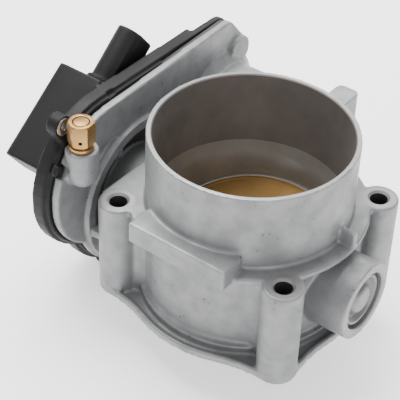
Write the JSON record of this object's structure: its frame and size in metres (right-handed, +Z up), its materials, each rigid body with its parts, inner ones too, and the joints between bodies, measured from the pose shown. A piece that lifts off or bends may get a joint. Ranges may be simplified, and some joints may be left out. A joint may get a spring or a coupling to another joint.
{
  "type": "electronic throttle body",
  "caption": "Cast throttle body: inlet tube on a bolted flange, butterfly on a geared cross shaft, side motor housing, black plastic gear cover with plug socket, brass vent",
  "frame": {"origin": "on the air passage axis in the manifold face", "axes": "+Z up the passage to the inlet rim, +X along the shaft to the bearing plug, gear case on -X, motor on +Y"},
  "size_m": [0.1525, 0.1439, 0.1064],
  "materials": {
    "cast_aluminium": "fine-blasted casting",
    "steel": "bright zinc",
    "brass": "turned",
    "plate_brass": "rolled, dull",
    "black_plastic": "moulded, satin",
    "gear_plastic": "moulded",
    "rubber": "matt",
    "circuit_board": "lacquered board",
    "magnet": "sintered",
    "copper": "wound copper"
  },
  "bodies": {
    "body": {"housing": "cast_aluminium", "plug_side_bearing": "steel", "gear_side_bearing": "steel", "bearing_plug": "steel", "return_spring": "steel", "intermediate_pin": "steel", "motor_can": "steel", "motor_plate": "steel", "motor_screw_1": "steel", "motor_screw_2": "steel", "wave_spring": "steel", "stop_screw": "steel", "stop_screw_nut": "steel", "cover_screw_1": "steel", "cover_screw_2": "steel", "cover_screw_3": "steel", "eye_bush": "steel", "vent_body": "brass", "vent_core": "brass", "connector_pin_1": "brass", "connector_pin_2": "brass", "connector_pin_3": "brass", "connector_pin_4": "brass", "connector_pin_5": "brass", "connector_pin_6": "brass", "gear_cover": "black_plastic", "spring_bush": "black_plastic", "motor_end_cap": "black_plastic", "shaft_seal_1": "rubber", "shaft_seal_2": "rubber", "cover_seal": "rubber", "sensor_board": "circuit_board", "motor_magnet_1": "magnet", "motor_magnet_2": "magnet"},
    "throttle": {"throttle_shaft": "steel", "throttle_plate": "plate_brass", "plate_screw_1": "steel", "plate_screw_2": "steel", "sector_gear": "gear_plastic", "sensor_magnet": "magnet"},
    "intermediate": {"intermediate_gear": "gear_plastic"},
    "rotor": {"motor_armature": "copper", "motor_commutator": "copper", "motor_shaft": "steel", "motor_pinion": "brass"}
  },
  "joints": [
    {"name": "throttle_turn", "type": "hinge", "parent": "body", "child": "throttle", "pos_m": [0, 0, 0.0227], "axis": [1, 0, 0], "range_deg": [-7, 78.5], "stiffness_Nm_per_rad": 0.2},
    {"name": "intermediate_turn", "type": "hinge", "parent": "body", "child": "intermediate", "pos_m": [0, 0.03447, 0.0387], "axis": [1, 0, 0], "range_deg": [-296, 28]},
    {"name": "rotor_turn", "type": "hinge", "parent": "body", "child": "rotor", "pos_m": [0, 0.058, 0.034], "axis": [1, 0, 0], "range_deg": [-88, 970]}
  ],
  "couplings": [
    {"joint": "intermediate_turn", "follows": "throttle_turn", "ratio": -3.75},
    {"joint": "rotor_turn", "follows": "throttle_turn", "ratio": 12.321}
  ]
}
